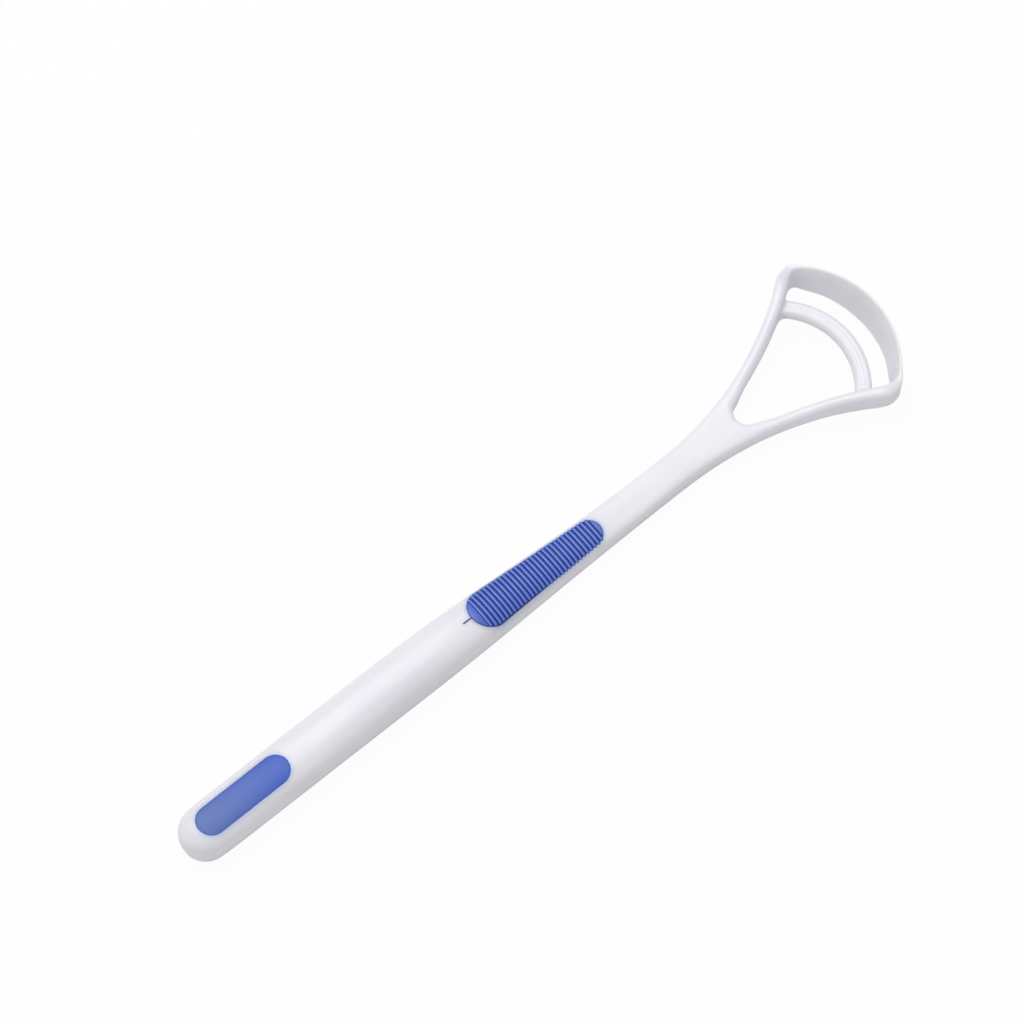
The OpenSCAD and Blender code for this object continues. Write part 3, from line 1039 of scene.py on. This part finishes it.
tree, given, results = new_group(
    "handling_marks", {"Scuffs per metre": ("NodeSocketFloat", SCUFFS_PER_METRE)},
    {"Mask": "NodeSocketFloat"})
place = coordinates(tree)
patches = noise(tree, place, PATCHES_PER_METRE, detail=3.0, roughness=0.6)
stretched = add_node(tree, "ShaderNodeMapping", {
    "Vector": place, "Rotation": (0, 0, SCUFF_TURN), "Scale": (SCUFF_STRETCH, 1, 1)}).outputs[0]
scuffs = noise(tree, stretched, given["Scuffs per metre"], detail=2.0, roughness=0.7)
patched = calculate(tree, "MULTIPLY", spread(tree, patches, *PATCH_RANGE), PATCH_SHARE)
scuffed = spread(tree, scuffs, *SCUFF_RANGE)
mask = calculate(tree, "MULTIPLY_ADD", scuffed, SCUFF_SHARE, patched, clamp=True)
tree.links.new(mask, results["Mask"])
print("group:", tree.name)

# %% [markdown]
# ## White polypropylene, with a painted blue glow round the insets
# The moulding is glossy and a little translucent: its thin walls glow softly, and light that
# has gone through the blue elastomer tints the white beside it. The glow of the walls is plain
# subsurface scattering. The blue light beside the insets would be lost when the part is exported,
# so it is painted into the white's colour as a painted glow, from how far a point lies from the
# outline of each inset, which is a line between two centres with a radius at either end. The
# painted glow shows only near the top.

# %% Group that puts out the mask of the painted blue glow round one inset
SHINE_HEIGHTS = 2.5 * MM, 4.5 * MM
OUTLINE_SOCKETS = "Rear x", "Front x", "Rear radius", "Front radius", "Reach"

tree, given, results = new_group(
    "painted_inset_glow", {socket: ("NodeSocketFloat", 0.0) for socket in OUTLINE_SOCKETS},
    {"Mask": "NodeSocketFloat"})
x, y, z = split(tree)
rear, front, rear_radius, front_radius, reach = [given[socket] for socket in OUTLINE_SOCKETS]
nearest = spread(tree, x, rear, front, rear, front)
radius = spread(tree, spread(tree, x, rear, front), 0.0, 1.0, rear_radius, front_radius)
along = calculate(tree, "SUBTRACT", x, nearest)
distance = calculate(tree, "SQRT", calculate(
    tree, "ADD", calculate(tree, "MULTIPLY", along, along), calculate(tree, "MULTIPLY", y, y)))
beyond = calculate(tree, "SUBTRACT", distance, radius)
fade = spread(tree, calculate(tree, "DIVIDE", beyond, reach), 0.0, 1.0, 1.0, 0.0)
on_top = spread(tree, z, *SHINE_HEIGHTS)
tree.links.new(calculate(tree, "MULTIPLY", fade, on_top), results["Mask"])
print("group:", tree.name)

# %% Helpers that build a finish
DULL_BY = 0.12


def place_group(tree, name, **values):
    """A placed group, with its inputs set; underscores stand for the spaces in their names"""
    node = add_node(tree, "ShaderNodeGroup", node_tree=bpy.data.node_groups[name])
    for socket, value in values.items():
        node.inputs[socket.replace("_", " ")].default_value = value
    return node


def new_finish(name, plain, streak, roughness, grain_depth, **grain_values):
    """A material with marks and grain; returns its tree and its tinted colour, still unlinked"""
    material = bpy.data.materials.new(name)
    material.use_nodes = True
    tree = material.node_tree
    shader = tree.nodes["Principled BSDF"]
    tint = place_group(tree, "flow_tint", Plain=plain, Streak=streak)
    marks = place_group(tree, "handling_marks")
    dulled = calculate(tree, "MULTIPLY_ADD", marks.outputs["Mask"], DULL_BY, roughness)
    tree.links.new(dulled, shader.inputs["Roughness"])
    grain = place_group(tree, "moulded_grain", **grain_values)
    bump = add_node(
        tree, "ShaderNodeBump", {"Height": grain.outputs["Height"], "Distance": grain_depth})
    tree.links.new(bump.outputs[0], shader.inputs["Normal"])
    return tree, tint.outputs["Color"]


def set_colour(tree, colour):
    tree.links.new(colour, tree.nodes["Principled BSDF"].inputs["Base Color"])


def give_finish(piece, material):
    piece.data.materials.clear()
    piece.data.materials.append(material)
    print(piece.name, "has the finish", material.name)


print("a mark dulls by up to", DULL_BY)

# %% The white finish
WHITE = (0.83, 0.815, 0.86, 1)
WHITE_STREAK = (0.79, 0.775, 0.83, 1)
WHITE_ROUGHNESS = 0.3
WHITE_GRAIN_DEPTH = MM / 100
WHITE_PITS_PER_METRE = 2500
PAINTED_BLUE_GLOW = (0.58, 0.7, 1.0, 1)
SHINE_REACH = 0.95 * MM
GLOW = {"Subsurface Weight": 0.6, "Subsurface Radius": (1, 1, 1), "Subsurface Scale": 2 * MM}


def painted_glow_round(tree, outline):
    start, length, rear_r, front_r = outline
    return place_group(
        tree, "painted_inset_glow", Rear_x=tail_x + start + rear_r,
        Front_x=tail_x + start + length - front_r,
        Rear_radius=rear_r, Front_radius=front_r, Reach=SHINE_REACH).outputs["Mask"]


tree, tinted = new_finish(
    "white_polypropylene", WHITE, WHITE_STREAK, WHITE_ROUGHNESS, WHITE_GRAIN_DEPTH,
    Pits_per_metre=WHITE_PITS_PER_METRE)
# Painted glow: the white is mixed towards a pale blue near the insets' outlines, standing in for
# light that has passed through them
painted_glow_mask = calculate(
    tree, "MAXIMUM", painted_glow_round(tree, grip_outline), painted_glow_round(tree, inlay_outline))
set_colour(tree, mix_colours(tree, painted_glow_mask, tinted, PAINTED_BLUE_GLOW))
for socket, value in GLOW.items():
    tree.nodes["Principled BSDF"].inputs[socket].default_value = value
give_finish(moulding, bpy.data.materials["white_polypropylene"])

# %% [markdown]
# ## Soft blue elastomer
# The grip and the inlay are moulded in one shot, from the same satin elastomer. The side of each
# rib that faces the tail gets a painted highlight, the other side painted shade, and the grooves
# painted shade as well. A noise couldn't follow the ribs, so the colour is worked out from two
# things: how high a vertex stood between groove and crest when the grip was still flat, which
# the mesh keeps as an attribute, and how far along the rib's pitch a point lies.

# %% The ribbed blue finish
# Painted light on the ribs: a painted highlight on each rib's tail side, painted shade on its far
# side and in the grooves
SHADED_GROOVE_BLUE = (0.012, 0.03, 0.27, 1)
RIB_BLUE = (0.08, 0.145, 0.58, 1)
RIB_STREAK = (0.07, 0.13, 0.55, 1)
SHADED_SLOPE_BLUE = (0.035, 0.085, 0.42, 1)
HIGHLIGHT_BLUE = (0.17, 0.29, 0.82, 1)
HIGHLIGHT_PLACE = 0.36
HIGHLIGHT_REACH = 0.18
FULL_HIGHLIGHT_SHARE = 0.2
SHADED_SLOPE_END = 0.95
GROOVE_SHADE_RANGE = 0.2, 0.7
GRIP_ROUGHNESS = 0.36
BLUE_GRAIN_DEPTH = MM / 60

tree, tinted = new_finish(
    "ribbed_elastomer", RIB_BLUE, RIB_STREAK, GRIP_ROUGHNESS, BLUE_GRAIN_DEPTH)
height = add_node(tree, "ShaderNodeAttribute", attribute_name="crest").outputs["Fac"]
ribs_passed = spread(tree, split(tree)[0], tail_x + first_s, tail_x + last_s, 0.0, rib_count)
along_rib = calculate(tree, "FRACT", ribs_passed)
# A painted highlight near the tail side of each rib, and painted shade on the slope past it
highlight_offset = calculate(tree, "SUBTRACT", along_rib, HIGHLIGHT_PLACE)
highlight_offset = calculate(tree, "DIVIDE", calculate(tree, "ABSOLUTE", highlight_offset), HIGHLIGHT_REACH)
painted_highlight = spread(tree, highlight_offset, FULL_HIGHLIGHT_SHARE, 1.0, 1.0, 0.0)
painted_slope_shade = spread(tree, along_rib, HIGHLIGHT_PLACE + HIGHLIGHT_REACH / 2, SHADED_SLOPE_END)
ribbed = mix_colours(tree, painted_slope_shade, tinted, SHADED_SLOPE_BLUE)
ribbed = mix_colours(tree, painted_highlight, ribbed, HIGHLIGHT_BLUE)
# Painted shade in the grooves: the colour turns dark blue where the flat grip stood low
set_colour(tree, mix_colours(tree, spread(tree, height, *GROOVE_SHADE_RANGE), SHADED_GROOVE_BLUE, ribbed))
give_finish(grip, bpy.data.materials["ribbed_elastomer"])

# %% The smooth blue finish, which turns a little purer towards the head
INLAY_REAR_BLUE = (0.1, 0.165, 0.46, 1)
INLAY_FRONT_BLUE = (0.042, 0.113, 0.55, 1)
INLAY_ROUGHNESS = 0.48

tree, tinted = new_finish(
    "smooth_elastomer", INLAY_REAR_BLUE, INLAY_REAR_BLUE, INLAY_ROUGHNESS, BLUE_GRAIN_DEPTH)
forwards = spread(tree, split(tree)[0], tail_x + inlay_s, tail_x + inlay_s + inlay_len)
set_colour(tree, mix_colours(tree, forwards, tinted, INLAY_FRONT_BLUE))
give_finish(inlay, bpy.data.materials["smooth_elastomer"])

# %% [markdown]
# ## A white table and soft studio light
# The tool lies on a white table under a large softbox, high and a little behind it, so its near
# sides turn grey and its crown keeps a broad, soft glint. A table lit until it is pure white
# would need light that burns out the white tool too. So its material gives the camera mostly a
# plain white, which leaves only a faint shadow, and all other rays a matt surface. The sky
# does the same: white to look at, weaker as a light.

# %% Table
TABLE_SIZE = 4
TABLE_WHITE = (0.85, 0.85, 0.85, 1)
PLAIN_WHITE_SHARE = 0.95
TABLE_PITS_PER_METRE = 800
TABLE_GRAIN_DEPTH = MM / 100

start_fresh()
bpy.ops.mesh.primitive_plane_add(size=TABLE_SIZE, location=(0, 0, 0))
table = settle(bpy.context.object, "table")
material = bpy.data.materials.new("white_table")
material.use_nodes = True
tree = material.node_tree
tree.nodes.clear()
grain = place_group(tree, "moulded_grain", Pits_per_metre=TABLE_PITS_PER_METRE)
bump = add_node(
    tree, "ShaderNodeBump", {"Height": grain.outputs["Height"], "Distance": TABLE_GRAIN_DEPTH})
matt = add_node(tree, "ShaderNodeBsdfDiffuse", {"Color": TABLE_WHITE, "Normal": bump.outputs[0]})
plain = add_node(tree, "ShaderNodeEmission", {"Color": PURE_WHITE, "Strength": 1.0})
seen = add_node(tree, "ShaderNodeLightPath").outputs["Is Camera Ray"]
share = calculate(tree, "MULTIPLY", seen, PLAIN_WHITE_SHARE)
mixed = add_node(tree, "ShaderNodeMixShader", {0: share, 1: matt.outputs[0], 2: plain.outputs[0]})
add_node(tree, "ShaderNodeOutputMaterial", {"Surface": mixed.outputs[0]})
give_finish(table, material)

# %% Sky
SKY_STRENGTH = 0.55

world = bpy.data.worlds.new("studio")
bpy.context.scene.world = world
world.use_nodes = True
tree = world.node_tree
tree.nodes.clear()
seen = add_node(tree, "ShaderNodeLightPath").outputs["Is Camera Ray"]
strength = spread(tree, seen, 0.0, 1.0, SKY_STRENGTH, 1.0)
sky = add_node(tree, "ShaderNodeBackground", {"Color": PURE_WHITE, "Strength": strength})
add_node(tree, "ShaderNodeOutputWorld", {"Surface": sky.outputs[0]})
print("sky:", SKY_STRENGTH)

# %% Softbox
SOFTBOX_SIZE = 0.5
SOFTBOX_WATTS = 3.3
SOFTBOX_PLACE = Vector((0.02, 0.29, 0.75))

start_fresh()
bpy.ops.object.light_add(type="AREA", location=SOFTBOX_PLACE)
softbox = bpy.context.object
softbox.name = "softbox"
softbox.data.energy = SOFTBOX_WATTS
softbox.data.size = SOFTBOX_SIZE
softbox.rotation_euler = SOFTBOX_PLACE.to_track_quat("Z", "Y").to_euler()
print("softbox:", SOFTBOX_WATTS, "W at", [round(c, 2) for c in SOFTBOX_PLACE])

# %% [markdown]
# ## The camera
# The photograph looks down at 67 degrees with a long lens from about three quarters of a metre,
# and the tool lies at 38 degrees across the table. The camera is given as it stands over that
# table, and is then turned into the tool's own frame. A camera could be aimed at the tool with
# a Track To constraint, but the photograph's camera is also rolled a little.

# %% Place the camera
VIEW_ELEVATION = 67.1
VIEW_ROLL = 1.59
TOOL_TURN = 38.18
VIEW_DISTANCE = 764.64 * MM
PIXELS_PER_METRE = 4846.4
TOOL_PLACE = Vector((-66.74 * MM, -72.43 * MM, 0))
IMAGE_PIXELS = 1024
SENSOR_WIDTH = 36

elevation, roll = radians(VIEW_ELEVATION), radians(VIEW_ROLL)
level = Vector((1, 0, 0))
upright = Vector((0, sin(elevation), cos(elevation)))
back = Vector((0, -cos(elevation), sin(elevation)))
right = level * cos(roll) - upright * sin(roll)
up = level * sin(roll) + upright * cos(roll)
to_tool = Matrix.Rotation(-radians(TOOL_TURN), 3, "Z")
place = to_tool @ (back * VIEW_DISTANCE - TOOL_PLACE) + Vector((tail_x, 0, 0))
axes = Matrix([to_tool @ axis for axis in (right, up, back)]).transposed()

start_fresh()
bpy.ops.object.camera_add()
camera = bpy.context.object
camera.name = "camera"
camera.data.sensor_width = SENSOR_WIDTH
camera.data.lens = SENSOR_WIDTH * PIXELS_PER_METRE * VIEW_DISTANCE / IMAGE_PIXELS
camera.matrix_world = Matrix.Translation(place) @ axes.to_4x4()
bpy.context.scene.camera = camera
bpy.context.scene.view_settings.view_transform = "Standard"
print("camera at", [round(c, 3) for c in place], "lens", round(camera.data.lens, 1), "mm")
